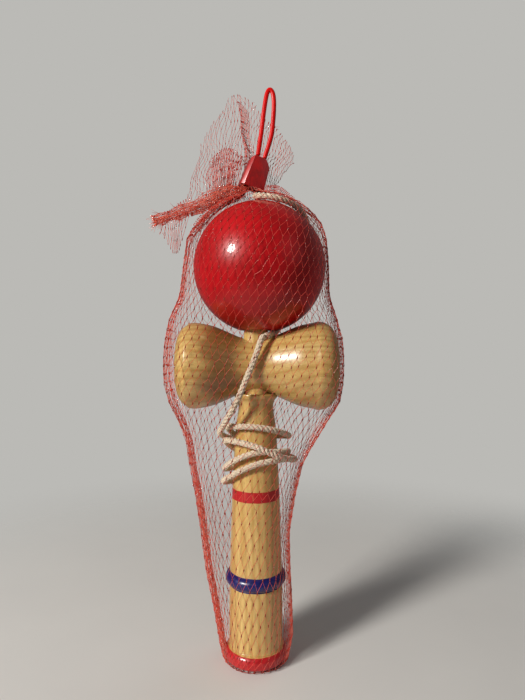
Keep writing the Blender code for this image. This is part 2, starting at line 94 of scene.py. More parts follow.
# Cross cup
SMALL_MAX_R = 17.4
SMALL_RIM_R = 11.8
BIG_MAX_R = 18
BIG_RIM_R = 11.6
WAIST_R = 10.75
WAIST_PROFILE = ((16.3, 17.6), (14, 12), (11.9, 7), (WAIST_R + 0.15, 3), (WAIST_R, 0),  # (radius, x)
                 (WAIST_R + 0.15, -3), (12, -7.4), (14.2, -12.5), (16.2, -17.5))
CUP_DISH_DEPTH = 5.5
CUP_STRING_HOLE_R = 2.1

# Ball
MOUTH_R = 8
HOLE_END_R = 5.8
HOLE_END_Z = 178
STRING_HOLE_R = 1.75
COUNTERSINK_R = 3.2
COUNTERSINK_DEPTH = 1.4

# String, three strands laid together
STRING_R = 1.25
STRAND_R = 0.64
STRAND_OFFSET = 0.64
LAY_PITCH = 5.6

# Netting
NET_COLUMNS = 72
NET_ROW_NARROW = 4.3  # between rows of joints, slack and stretched
NET_ROW_WIDE = 3.5
NET_PITCH = 3.1
NET_SHEAR = 0.24
NET_STRAND_R = 0.09
NET_FAMILY_SHARES = (1, 0.7)
NET_KNOT_R = 0.235
LOOSE_STRAND_R = 0.08
NET_KNOT_HALF = 0.5
NET_SCATTER = 0.045  # of a column
NET_SCATTER_Z = 0.28
PLEATS = ((-1, 0.38, 1), (-1, 0.24, 4), (1, 0.38, 3.2))  # side, share of the spare joints, relative width
PLEAT_MAX_W = 1.9
FOLD_DEPTH = 1.35
FOLD_COLUMNS = 4.6

# Clip
CLIP_PIVOT = Vector((-2.2, 0, 191.4))
CLIP_TILT = math.radians(18.5)
CLIP_TURN = math.radians(18)
CLIP_SIZE = Vector((9.8, 6.6, 12.6))
CLIP_TOP_SHARE = 0.8
CLIP_WALL = 0.9
CLIP_HOLLOW_H = 8
CLIP_SHOULDERS = (1.2, 2.7)
CLIP_FACET = 1.1
CLIP_ROUNDING = 0.6
LOOP_WIDE = 0.92
LOOP_THIN = 0.68
LOOP_HALF_GAUGE = 1.5
LOOP_LINE = ((2.1, 213.5), (3.3, 223.2), (4.4, 229.8), (5.6, 232), (6.9, 230.6), (7.4, 226.6),
             (7.1, 219.6), (6.2, 212.6))  # (x, z), up one side and down the other

# Turned work
EDGE_ANGLE = math.radians(42)  # sharper folds than this stay edges
WOOD_STEPS = 128
SPIKE_BORE_LOW_R = 6.55
SPIKE_BORE_HIGH_R = 5.45

# Stage, in metres
CAMERA = (0.0027, -0.207, 0.1254)
LIT_POINT = Vector((0, 0, 0.115))
LIGHTS = (  # name, direction, distance, size, watts, colour
    ("key", (-0.68, -0.585, 0.42), 1.1, 0.24, 14.5, (1, 0.97, 0.92)),
    ("fill", (0.8, -0.5, 0.4), 1.2, 0.9, 0.35, (0.94, 0.97, 1)),
    ("back", (0.72, 0.62, 0.3), 1.3, 1, 2.8, (1, 0.98, 0.95)))
FLOOR_FADE = (90, 330)  # millimetres from the middle
BACKDROP_IN_REFLECTIONS = 0.09


# ---- places taken from the frame
def box(node):
    """The corners, the middle and the half-width of a CAD node, in millimetres."""
    low, high = (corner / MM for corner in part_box(node))
    return low, high, (low + high) / 2, (high.x - low.x) / 2


ball_high, BALL, BALL_R = box("ball")[1:]
BALL.y = 0
BALL.z = ball_high.z - math.sqrt(BALL_R ** 2 - COUNTERSINK_R ** 2)
cup_low, cup_high, cup_middle = box("cross_cup")[:3]
CUP_Z = cup_middle.z
SMALL_END_X = cup_low.x
BIG_END_X = cup_high.x
SPIKE_TOP_Z = box("handle")[1].z
BEAD, BEAD_R = box("string_bead")[2:]


# ---- curves
def arc(centre, radius, start_deg, end_deg, count):
    """Points (r, z) on an arc about centre, from start_deg to end_deg, in count steps."""
    turns = [math.radians(start_deg + (end_deg - start_deg) * i / count) for i in range(count + 1)]
    return [(centre[0] + radius * math.cos(t), centre[1] + radius * math.sin(t)) for t in turns]


def sphere_height(radius, at):
    return math.sqrt(max(radius ** 2 - at ** 2, 0))


def spline(points, per_span):
    """Catmull-Rom curve through the points, with per_span steps between neighbours."""
    pts = np.array([tuple(p) for p in points], float)
    pts = np.vstack([2 * pts[0] - pts[1], pts, 2 * pts[-1] - pts[-2]])
    t = (np.arange(per_span) / per_span)[:, None]
    made = []
    for a, b, c, d in zip(pts, pts[1:], pts[2:], pts[3:]):
        made.append(0.5 * (2 * b + (c - a) * t + (2 * a - 5 * b + 4 * c - d) * t ** 2
                           + (3 * b - a - 3 * c + d) * t ** 3))
    return np.vstack(made + [pts[-2][None]])


def reach_along(line):
    """The distance from the line's start at each of its points."""
    return np.concatenate([[0], np.cumsum(np.linalg.norm(np.diff(line, axis=0), axis=1))])


def evenly(line, step):
    """The line resampled at equal steps along its length."""
    reach = reach_along(line)
    places = np.linspace(0, reach[-1], max(int(reach[-1] / step), 2) + 1)
    return np.stack([np.interp(places, reach, line[:, i]) for i in range(3)], axis=1)


def unit(rows):
    return rows / np.maximum(np.linalg.norm(rows, axis=-1, keepdims=True), 1e-12)


def side_frames(line):
    """Two unit vectors across the line at each point, without sudden turns along it."""
    tangent = unit(np.gradient(line, axis=0))
    normal = np.cross(tangent[0], (0.3, 0.9, 0.2))
    normals = []
    for t in tangent:
        normal = normal - t * np.dot(normal, t)
        normal = normal / np.linalg.norm(normal)
        normals.append(normal)
    normals = np.array(normals)
    return normals, np.cross(tangent, normals)


# ---- meshes
class Shape:
    """Vertices and faces of one piece, gathered from tubes. Each vertex carries a tone and a place."""

    def __init__(self):
        self.points = []
        self.faces = []
        self.tones = []
        self.places = []
        self.count = 0

    def tube(self, line, radii, sides, across=None, tone=0, flat=1):
        """A closed tube round the line. across is (first, second) unit vectors, flat thins the second."""
        line = np.asarray(line, float)
        count = len(line)
        radii = np.broadcast_to(np.asarray(radii, float), (count,))
        first, second = across if across else side_frames(line)
        turns = np.arange(sides) * math.tau / sides
        ring = (np.cos(turns)[None, :, None] * first[:, None, :]
                + np.sin(turns)[None, :, None] * second[:, None, :] * flat)
        points = line[:, None, :] + ring * radii[:, None, None]
        index = self.count + np.arange(count * sides).reshape(count, sides)
        ahead = np.roll(index, -1, axis=1)
        quads = np.stack([index[:-1], ahead[:-1], ahead[1:], index[1:]], axis=-1).reshape(-1, 4)
        self.faces += quads.tolist()
        self.faces += [index[0][::-1].tolist(), index[-1].tolist()]
        self.points.append(points.reshape(-1, 3))
        place = np.broadcast_arrays(np.cos(turns), np.sin(turns), reach_along(line)[:, None])
        self.places.append(np.stack(place, axis=-1).reshape(-1, 3))
        self.tones.append(np.full(count * sides, tone))
        self.count += count * sides

    def piece(self, name, finish):
        mesh = bpy.data.meshes.new(name)
        mesh.from_pydata((np.vstack(self.points) * MM).tolist(), [], self.faces)
        mesh.validate()
        mesh.shade_smooth()
        mesh.materials.append(finish)
        store(mesh, "tone", np.concatenate(self.tones))
        store(mesh, "place", np.vstack(self.places))
        return in_scene(name, mesh)


def store(mesh, name, values):
    kind, field = ("FLOAT", "value") if values.ndim == 1 else ("FLOAT_VECTOR", "vector")
    layer = mesh.attributes.new(name, kind, "POINT")
    layer.data.foreach_set(field, values.astype(np.float32).ravel())


def in_scene(name, data):
    made = bpy.data.objects.new(name, data)
    bpy.context.scene.collection.objects.link(made)
    return made


def from_work(name, work, finish=None):
    """The bmesh, in millimetres, as an object of the scene."""
    mesh = bpy.data.meshes.new(name)
    work.transform(Matrix.Scale(MM, 4))
    work.to_mesh(mesh)
    work.free()
    if finish:
        mesh.materials.append(finish)
    return in_scene(name, mesh)


def smooth_faces(mesh):
    """Smooth shading between the edges of turned and drilled work."""
    mesh.shade_smooth()
    mesh.set_sharp_from_angle(angle=EDGE_ANGLE)


def settle(piece, node, body=None):
    """Puts the piece in the place of a CAD node, and on a body if it rides on one."""
    if node:
        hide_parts(node)
    if body:
        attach(piece, body)


def revolve(name, sections, finish, steps, origin=(0, 0, 0), closed=False, lay_x=False):
    """A turned piece. sections are runs of (r, z) points that meet at edges; each run is smoothed."""
    line = [tuple(p) for run in sections for p in (spline(run, 5) if len(run) > 2 else run)]
    tidy = [line[0]]
    for point in line[1:]:
        if math.dist(point, tidy[-1]) > 0.02:
            tidy.append(point)
    work = bmesh.new()
    rings = []
    for r, z in tidy:
        turns = [math.tau * i / steps for i in range(steps if r > 0.01 else 1)]
        rings.append([work.verts.new((r * math.cos(t), r * math.sin(t), z)) for t in turns])
    pairs = list(zip(rings, rings[1:]))
    if closed:
        pairs.append((rings[-1], rings[0]))
    for upper, lower in pairs:
        for i in range(steps):
            corners = (upper[i % len(upper)], lower[i % len(lower)], lower[(i + 1) % len(lower)],
                       upper[(i + 1) % len(upper)])
            work.faces.new(tuple(dict.fromkeys(corners)))       # three corners where a ring is one point
    bmesh.ops.recalc_face_normals(work, faces=work.faces)
    placing = Matrix.Translation(origin)
    if lay_x:
        placing = placing @ Matrix.Rotation(math.pi / 2, 4, "Y")
    work.transform(placing)
    made = from_work(name, work, finish)
    smooth_faces(made.data)
    return made


def drill(start, direction, length, start_r, end_r, steps=48):
    """A cutter: a cone from start along direction."""
    work = bmesh.new()
    placing = Matrix.Translation(start) @ Vector(direction).to_track_quat("Z", "Y").to_matrix().to_4x4()
    bmesh.ops.create_cone(work, cap_ends=True, segments=steps, radius1=start_r, radius2=end_r, depth=length,
                          matrix=placing @ Matrix.Translation((0, 0, length / 2)))
    return from_work("drill", work)


def apply_steps(piece):
    """Turns the piece's modifiers into its mesh."""
    graph = bpy.context.evaluated_depsgraph_get()
    mesh = bpy.data.meshes.new_from_object(piece.evaluated_get(graph))
    piece.modifiers.clear()
    piece.data = mesh


def carve(piece, cutters):
    for cutter in cutters:
        step = piece.modifiers.new("cut", "BOOLEAN")
        step.operation = "DIFFERENCE"
        step.solver = "EXACT"
        step.object = cutter
    apply_steps(piece)
    for cutter in cutters:
        bpy.data.objects.remove(cutter)
    smooth_faces(piece.data)


# ---- materials
def srgb(red, green, blue):
    """A colour given in 0-255 screen values, as linear light."""
    shares = [value / 255 for value in (red, green, blue)]
    return (*(s / 12.92 if s < 0.04045 else ((s + 0.055) / 1.055) ** 2.4 for s in shares), 1)


class Nodes:
    """A node tree under construction, with short ways to add nodes."""

    def __init__(self, owner):
        owner.use_nodes = True
        self.tree = owner.node_tree

    def plug(self, socket, value):
        if isinstance(value, bpy.types.NodeSocket):
            self.tree.links.new(value, socket)
        else:
            socket.default_value = value

    def node(self, kind, inputs=None, **settings):
        made = self.tree.nodes.new("ShaderNode" + kind)
        for key, value in settings.items():
            setattr(made, key, value)
        for key, value in (inputs or {}).items():
            self.plug(made.inputs[key], value)
        return made

    def maths(self, operation, first, second=0, third=0):
        return self.node("Math", {0: first, 1: second, 2: third}, operation=operation).outputs[0]

    def blend(self, share, first, second, output):
        """Shows the second shader by share over the first, at the output node."""
        both = self.node("MixShader", {0: share, 1: first.outputs[0], 2: second.outputs[0]})
        self.plug(self.tree.nodes[output].inputs[0], both.outputs[0])


class Look(Nodes):
    """A material built round its main shader. Lengths in its nodes are in millimetres."""

    def __init__(self, name):
        self.material = bpy.data.materials.new(name)
        super().__init__(self.material)
        self.shader = self.tree.nodes["Principled BSDF"]

    def set(self, **inputs):
        for key, value in inputs.items():
            self.plug(self.shader.inputs[key.replace("_", " ")], value)

    def coords(self):
        """Places on the piece in millimetres."""
        raw = self.node("TexCoord").outputs["Object"]
        return self.node("VectorMath", {0: raw, "Scale": 1 / MM}, operation="SCALE").outputs[0]

    def stretch(self, vector, scale, shift=(0, 0, 0)):
        return self.node("Mapping", {"Vector": vector, "Scale": scale, "Location": shift}).outputs[0]

    def split(self, vector):
        return self.node("SeparateXYZ", {0: vector}).outputs

    def noise(self, vector, scale, detail=3, rough=0.55, warp=0):
        return self.node("TexNoise", {"Vector": vector, "Scale": scale, "Detail": detail, "Roughness": rough,
                                      "Distortion": warp}).outputs[0]

    def times(self, first, second):
        return self.maths("MULTIPLY", first, second)

    def plus(self, first, second):
        return self.maths("ADD", first, second)

    def scaled(self, value, by, then_add):
        return self.maths("MULTIPLY_ADD", value, by, then_add)

    def distance(self, first, second):
        return self.maths("ABSOLUTE", self.maths("SUBTRACT", first, second))

    def remap(self, value, low, high, to_low=0, to_high=1):
        """value between low and high, smoothly turned into to_low ... to_high."""
        return self.node("MapRange", {"Value": value, "From Min": low, "From Max": high, "To Min": to_low,
                                      "To Max": to_high}, interpolation_type="SMOOTHSTEP").outputs[0]

    def spread(self, noise, to_low=0, to_high=1):
        """Noise, which keeps near its middle, spread over to_low ... to_high."""
        return self.remap(noise, 0.3, 0.7, to_low, to_high)

    def stripe(self, value, middle, half, edge):
        """1 within half of the middle, fading to 0 over the edge."""
        return self.remap(self.distance(value, middle), half - edge, half + edge, 1, 0)

    def mix(self, share, first, second):
        return self.node("Mix", {0: share, 6: first, 7: second}, data_type="RGBA").outputs[2]

    def bump(self, height, depth):
        return self.node("Bump", {"Height": height, "Distance": depth * MM}).outputs[0]

    def attribute(self, name, output="Fac"):
        return self.node("Attribute", attribute_name=name).outputs[output]


def wood_grain(look, grain_scale, ring_axis, tint):
    """Colour and height of plain pale wood. grain_scale is small along the grain."""
    place = look.coords()
    along = look.stretch(place, grain_scale, (3.1 * tint, 7.7, 1.9))
    warp = look.noise(along, 0.16, 2)
    axes = look.split(along)
    across = look.plus(look.times(axes[ring_axis], 0.9), look.times(axes[1], 0.45))
    phase = look.plus(look.times(across, 2.3), look.times(warp, 13))
    ring = look.maths("POWER", look.scaled(look.maths("SINE", phase), 0.5, 0.5), 2.6)
    fibre = look.noise(along, 2.6, 7, 0.65)
    broad = look.noise(along, 0.35, 2)
    pore = look.remap(look.noise(along, 4.5, 2, 0.4), 0.66, 0.74)
    colour = look.mix(look.times(ring, 0.62), srgb(220, 187, 116), srgb(182, 138, 68))
    colour = look.mix(look.remap(fibre, 0.35, 0.72, 0, 0.42), colour, srgb(168, 126, 62))
    colour = look.mix(look.remap(broad, 0.35, 0.75, 0, 0.35), colour, srgb(206, 158, 80))
    colour = look.mix(look.times(pore, 0.45), colour, srgb(116, 74, 34))
    height = look.plus(look.times(fibre, 0.5), look.times(pore, -0.7))
    return place, colour, height


def handle_look():
    """Lacquered wood with a red foot, a blue ring and a red band, whose edges waver a little."""
    look = Look("handle_wood")
    place, wood, grain = wood_grain(look, (1, 1, 0.07), 0, 1)
    waver = look.scaled(look.noise(place, 0.32, 4), 0.5, -0.25)
    height = look.plus(look.split(place)[2], waver)
    edge = 0.09
    foot = look.stripe(height, 0, FOOT_PAINT_Z, edge)
    ring = look.stripe(height, RING_Z, RING_HALF_H + 0.1, edge)
    band = look.stripe(height, (BAND_LOW_Z + BAND_HIGH_Z) / 2, (BAND_HIGH_Z - BAND_LOW_Z) / 2, edge)
    mottle = look.noise(place, 0.9, 5, 0.6)
    red = look.mix(mottle, srgb(170, 10, 18), srgb(198, 20, 28))
    blue = look.mix(mottle, srgb(6, 12, 84), srgb(14, 22, 104))
    thin = look.remap(look.noise(look.stretch(place, (1, 1, 0.1)), 1.3, 4), 0.56, 0.74, 0, 0.3)
    colour = look.mix(foot, wood, red)
    colour = look.mix(look.times(band, look.scaled(thin, -1, 1)), colour, red)
    colour = look.mix(ring, colour, blue)
    paint = look.maths("MAXIMUM", look.maths("MAXIMUM", foot, ring), band)
    lathe = look.maths("SINE", look.times(look.split(place)[2], 9))
    bare = look.scaled(paint, -0.6, 1)
    relief = look.plus(look.times(grain, bare), look.times(lathe, 0.06))
    relief = look.plus(relief, look.times(paint, 0.55))
    rough = look.spread(look.noise(place, 0.6, 4), 0.3, 0.44)
    look.set(Base_Color=colour, Roughness=look.plus(rough, look.times(band, 0.12)),
             Normal=look.bump(relief, 0.07), Coat_Weight=0.55, Coat_Roughness=0.16, Specular_IOR_Level=0.45)
    return look.material


def cup_look():
    """Wood with its grain along the cup, a darker brown band painted round the small side near the waist as
    shade, and ends darkened both by end grain and by painted rim shade.
    """
    look = Look("cup_wood")
    place, wood, grain = wood_grain(look, (0.07, 1, 1), 2, 2.3)
    axes = look.split(place)
    lathe = look.maths("SINE", look.times(axes[0], 8))
    relief = look.plus(grain, look.times(lathe, 0.07))
    from_middle = look.maths("ABSOLUTE", axes[0])
    # Darker towards the ends: end grain, with painted shade on the rims.
    end = look.remap(from_middle, 28.2, 31.8)
    colour = look.mix(look.times(end, 0.34), wood, srgb(136, 94, 46))
    # Painted shade: a darker brown band round the small cup near the waist, standing in for the ball's
    # shadow and the slope turned from the light.
    from_shade_band = look.distance(axes[0], -13.5)
    cloud = look.scaled(look.noise(look.stretch(place, (0.5, 1, 1)), 0.13, 3), 14, -7)
    painted_shade_band = look.remap(look.plus(from_shade_band, cloud), 3, 11, 0.74, 0.04)
    colour = look.mix(painted_shade_band, colour, srgb(112, 70, 30))
    rough = look.spread(look.noise(place, 0.5, 4), 0.3, 0.42)
    look.set(Base_Color=colour, Roughness=rough, Normal=look.bump(relief, 0.06),
             Coat_Weight=look.remap(from_middle, 25, 29, 0.6, 0.1), Coat_Roughness=0.24,
             Specular_IOR_Level=0.45)
    return look.material


def ball_look():
    """Deep gloss lacquer over the wood; the bore is bare wood with some paint run into its mouth."""
    look = Look("ball_lacquer")
    place, wood, grain = wood_grain(look, (1, 0.09, 1), 0, 4.1)
    from_middle = look.node("VectorMath", {0: place, 1: tuple(BALL)}, operation="DISTANCE").outputs["Value"]
    ragged = look.scaled(look.noise(place, 0.45, 4), 3.4, -1.7)
    painted = look.remap(look.plus(from_middle, ragged), BALL_R - 3, BALL_R - 2.4)
    cloud = look.noise(place, 0.09, 3)
    speck = look.remap(look.noise(place, 1.9, 2, 0.4), 0.7, 0.76)
    red = look.mix(look.spread(cloud), srgb(170, 6, 14), srgb(190, 10, 20))
    red = look.mix(look.times(speck, 0.35), red, srgb(120, 6, 14))
    red = look.mix(look.remap(grain, 0.1, 0.4, 0, 0.12), red, srgb(140, 8, 16))
    peel = look.noise(place, 1.1, 3, 0.5)
    relief = look.plus(look.times(peel, 0.55), look.times(grain, 0.25))
    look.set(Base_Color=look.mix(painted, wood, red),
             Roughness=look.scaled(painted, -0.18, 0.52),
             Normal=look.bump(relief, 0.06), Coat_Weight=look.times(painted, 0.32),
             Coat_Roughness=0.07, Specular_IOR_Level=0.3)
    return look.material


def bead_look():
    look = Look("bead_wood")
    wood, grain = wood_grain(look, (1, 1, 0.12), 0, 5.3)[1:]
    look.set(Base_Color=look.mix(0.2, wood, srgb(236, 208, 158)), Roughness=0.5,
             Normal=look.bump(grain, 0.05), Coat_Weight=0.2, Coat_Roughness=0.3)
    return look.material


def cotton_look():
    """Twisted cotton: fine yarns wind round each strand, with painted shade in the hollows between them and
    patches of grey-brown dirt.
    """
    look = Look("string_cotton")
    place = look.coords()
    ring = look.split(look.attribute("place", "Vector"))
    turn = look.maths("ARCTAN2", ring[1], ring[0])
    phase = look.plus(look.times(turn, 5), look.times(ring[2], 5.2))
    phase = look.plus(phase, look.times(look.noise(place, 0.8, 3), 2.5))
    yarn = look.scaled(look.maths("SINE", phase), 0.5, 0.5)
    fuzz = look.noise(place, 5.5, 5, 0.7)
    dirt = look.noise(place, 0.13, 4)
    tone = look.attribute("tone")
    # Painted shade: the yarns are darker in the hollows between them and lighter on their crests.
    colour = look.mix(look.times(yarn, 0.6), srgb(224, 206, 178), srgb(252, 244, 226))
    colour = look.mix(look.remap(fuzz, 0.3, 0.75, 0.28, 0), colour, srgb(196, 168, 134))
    colour = look.mix(look.remap(dirt, 0.5, 0.72, 0, 0.25), colour, srgb(206, 178, 140))
    colour = look.mix(look.times(tone, 0.5), colour, srgb(246, 236, 214))
    relief = look.plus(look.times(yarn, 0.8), look.times(fuzz, 0.6))
    look.set(Base_Color=colour, Roughness=0.92, Normal=look.bump(relief, 0.16), Sheen_Weight=0.35,
             Sheen_Roughness=0.5, Specular_IOR_Level=0.2)
    return look.material


def netting_look(name, thin, joint, through=0.5):
    """Drawn plastic filaments, thicker and deeper in colour at their fused joints."""
    look = Look(name)
    place = look.coords()
    tone = look.attribute("tone")
    vary = look.noise(place, 0.12, 3)
    strand = look.mix(look.spread(vary, 0, 0.5), thin, srgb(255, 92, 68))
    fine = look.noise(place, 4, 4)
    axes = look.split(place)
    # Painted shade: the bag's front strands and joints are deeper red, standing in for the shade they and
    # their shadows show over the wood and ball, strands more so from the cups up.
    front = look.remap(look.times(axes[1], -1), 5, 11)
    front = look.times(front, look.remap(axes[2], 172, 180, 1, 0))
    front_painted_shade = look.times(front, look.remap(axes[2], 118, 134, 0.55, 0.8))
    strand = look.mix(front_painted_shade, strand, srgb(230, 62, 50))
    colour = look.mix(tone, strand, look.mix(front, joint, srgb(186, 58, 38)))
    colour = look.mix(look.remap(fine, 0.35, 0.75, 0, 0.25), colour, srgb(255, 140, 112))
    look.set(Base_Color=colour, Roughness=look.spread(fine, 0.14, 0.3),
             Normal=look.bump(fine, 0.05), Specular_IOR_Level=0.9, Coat_Weight=0.7, Coat_Roughness=0.08)
    thin = look.node("BsdfTranslucent", {"Color": colour})
    look.blend(through, look.shader, thin, "Material Output")
    return look.material


def plastic_look(name, lit, deep, gloss):
    """Injection-moulded red plastic with flow lines and small scuffs."""
    look = Look(name)
    place = look.coords()
    flow = look.noise(look.stretch(place, (1, 1, 0.3)), 0.5, 4, 0.6, 1.2)
    scuff = look.remap(look.noise(look.stretch(place, (3, 3, 0.7)), 1, 5, 0.7), 0.6, 0.72)
    colour = look.mix(look.spread(flow), deep, lit)
    colour = look.mix(look.times(scuff, 0.16), colour, srgb(250, 120, 100))
    relief = look.plus(look.times(flow, 0.8), look.times(scuff, -0.15))
    look.set(Base_Color=colour, Roughness=look.scaled(scuff, 0.16, 0.3),
             Normal=look.bump(relief, 0.05), Specular_IOR_Level=0.5 * gloss, Coat_Weight=gloss,
             Coat_Roughness=0.3)
    return look.material


# ---- handle, cups, ball, bead
def dish_line(rim_r, end, depth, steps, count):
    """Points (r, height) of a shallow dish, from its middle towards its rim at end."""
    shares = [math.sin(math.pi / 2 * i / steps) for i in range(count)]
    return [(rim_r * share, end + depth * (1 - share ** 2)) for share in shares]


def build_handle(finish):
    tip = [(0, SPIKE_TOP_Z)] + arc((0, SPIKE_TOP_Z - SPIKE_TIP_R), SPIKE_TIP_R, 72, 10, 8)
    spike = [tip[-1], *SPIKE_PROFILE, (SPIKE_BASE_R, COLLAR_Z + 1.2), (SPIKE_BASE_R, COLLAR_Z)]
    top = [spike[-1], (COLLAR_R - 0.5, COLLAR_Z)]
    collar = [top[-1], (COLLAR_R - 0.08, COLLAR_Z - 0.25), (COLLAR_R, COLLAR_Z - 0.8),
              (COLLAR_R - 0.3, COLLAR_Z - 1.7), (7.55, COLLAR_Z - 3.2), *GRIP_PROFILE,
              (10.62, RING_Z + RING_HALF_H)]
    ring = arc((RING_R - RING_HALF_H, RING_Z), RING_HALF_H, 66, -66, 14)
    grip = [(GRIP_LOW_R - 0.1, RING_Z - RING_HALF_H), (GRIP_LOW_R, 20),
            (GRIP_LOW_R, FOOT_Z + FOOT_H + 1.6), (GRIP_LOW_R + 0.3, FOOT_Z + FOOT_H)]
    round_r = FOOT_H / 2
    low_r = FOOT_LOW_ROUND
    foot = arc((FOOT_R - round_r, FOOT_Z + round_r), round_r, 62, 4, 10)
    foot += arc((FOOT_R - low_r, FOOT_Z + low_r), low_r, -10, -90, 8)
    under = [(FOOT_R - low_r, FOOT_Z), (FOOT_DISH_R + 0.4, FOOT_Z)]
    dish = under[1:] + dish_line(FOOT_DISH_R, FOOT_Z + 0.2, FOOT_DISH_DEPTH, 12, 13)[::-1]
    runs = [tip, spike, top, collar, ring, grip, foot, under, dish]
    handle = revolve("handle_turned", runs, finish, WOOD_STEPS)
    half = 15
    carve(handle, [
        drill((0, -half, CUP_Z), (0, 1, 0), 2 * half, ANCHOR_HOLE_R, ANCHOR_HOLE_R),
        drill((0, COUNTERBORE_END_Y, CUP_Z), (0, -1, 0), 8, COUNTERBORE_R, COUNTERBORE_R)])
    settle(handle, "handle", "handle")


def build_cross_cup(finish):
    lip = 0.7
    big_dish = dish_line(BIG_RIM_R - 2 * lip, BIG_END_X - 0.3, -CUP_DISH_DEPTH, 11, 11)
    small_dish = dish_line(SMALL_RIM_R - 2 * lip, SMALL_END_X + 0.3, CUP_DISH_DEPTH, 11, 11)
    body = [(BIG_RIM_R - lip, BIG_END_X - 0.05), (BIG_RIM_R, BIG_END_X), (BIG_RIM_R + 2.2, BIG_END_X - 0.8),
            (BIG_MAX_R - 2.1, BIG_END_X - 2.2), (BIG_MAX_R - 0.6, BIG_END_X - 4.4),
            (BIG_MAX_R, BIG_END_X - 7.4), (BIG_MAX_R - 0.55, 23), *WAIST_PROFILE, (SMALL_MAX_R, -23.5),
            (SMALL_MAX_R - 0.1, -27), (SMALL_MAX_R - 0.6, SMALL_END_X + 4),
            (SMALL_MAX_R - 2, SMALL_END_X + 2), (SMALL_RIM_R + 1.8, SMALL_END_X + 0.7),
            (SMALL_RIM_R, SMALL_END_X), (SMALL_RIM_R - lip, SMALL_END_X + 0.05)]
    runs = [big_dish + body[:1], body, body[-1:] + small_dish[::-1]]
    cup = revolve("cross_cup_turned", runs, finish, WOOD_STEPS, (0, 0, CUP_Z), lay_x=True)
    seat_r = COLLAR_R + 0.3
    carve(cup, [
        drill((0, 0, COLLAR_Z - 12), (0, 0, 1), 12.3, seat_r, seat_r, 96),
        drill((0, 0, CUP_Z - WAIST_R - 4), (0, 0, 1), 30, SPIKE_BORE_LOW_R, SPIKE_BORE_HIGH_R, 96),
        drill((0, 0, CUP_Z), (0, 1, 0), 16, CUP_STRING_HOLE_R, CUP_STRING_HOLE_R)])
    settle(cup, "cross_cup", "cross_cup")


def build_ball(finish):
    top = math.degrees(math.acos(COUNTERSINK_R / BALL_R))
    bottom = math.degrees(math.acos(MOUTH_R / BALL_R))
    outside = arc((0, 0), BALL_R, top, -bottom + 1.2, 70)
    lip_z = -sphere_height(BALL_R, MOUTH_R)
    mouth = [outside[-1], (MOUTH_R + 0.12, lip_z + 0.02), (MOUTH_R - 0.25, lip_z + 0.5)]
    end_z = HOLE_END_Z - BALL.z
    hole = [mouth[-1], (HOLE_END_R, end_z)]
    end = [hole[-1], (STRING_HOLE_R + 0.2, end_z + 2.2), (STRING_HOLE_R, end_z + 2.8)]
    sink = [(STRING_HOLE_R, sphere_height(BALL_R, COUNTERSINK_R) - COUNTERSINK_DEPTH), outside[0]]
    ball = revolve("ball_turned", [outside, mouth, hole, end, sink], finish, 144, tuple(BALL), closed=True)
    settle(ball, "ball", "ball")


def build_string_bead(finish):
    half = math.degrees(math.acos((STRING_HOLE_R + 0.25) / BEAD_R))
    outside = arc((0, 0), BEAD_R, half, -half, 28)
    reach = sphere_height(BEAD_R, STRING_HOLE_R + 0.25)
    bore = [outside[-1], (STRING_HOLE_R, -reach + 0.35), (STRING_HOLE_R, reach - 0.35), outside[0]]
    bead = revolve("string_bead_turned", [outside, bore[:2], bore[1:3], bore[2:]], finish, 64, tuple(BEAD),
                   closed=True)
    settle(bead, "string_bead", "string_end")


# ---- string
def on_ball(across, along, up, gap):
    """A point of the string's line where it lies on the ball, on its upper (up 1) or lower (-1) half."""
    reach = BALL_R + gap + STRING_R
    return BALL.x + across, along, BALL.z + up * sphere_height(reach, math.hypot(across, along))


def round_handle(turn_deg, radius, height):
    """A point round the handle; turn_deg runs from the front over the left side to the back."""
    turn = math.radians(turn_deg)
    return -radius * math.sin(turn), -radius * math.cos(turn), height


def string_over_ball_line():
    """From the bead up through the ball, over its top, down its back and under it to the front."""
    inside = [(BALL.x, 0, BEAD.z - 3.9), (BALL.x, 0, 178), (BALL.x, 0, 183.6), (BALL.x - 0.25, -0.7, 186.1)]
    top = [on_ball(x, y, 1, 0.3) for x, y in (
        (-1.5, -3.4), (-1.2, -7), (2, -9.4), (6.4, -9.6), (10.8, -7.6), (15.2, -3.6), (18.6, 2),
        (20.6, 8.6), (20.4, 14.6), (18.2, 20.2), (15.6, 23.4))]
    behind = [on_ball(x, y, -1, 0.45) for x, y in ((14.3, 24.2), (13.2, 23.2), (11.4, 20.2), (9.6, 15.4))]
    below = [(8.2, 9.8, 132.5), (6.7, 4, 132.1), (6.9, -0.6, 132.6), (5.9, -5.4, 131.6), (3.6, -8.6, 130.9)]
    return inside + top + behind + below


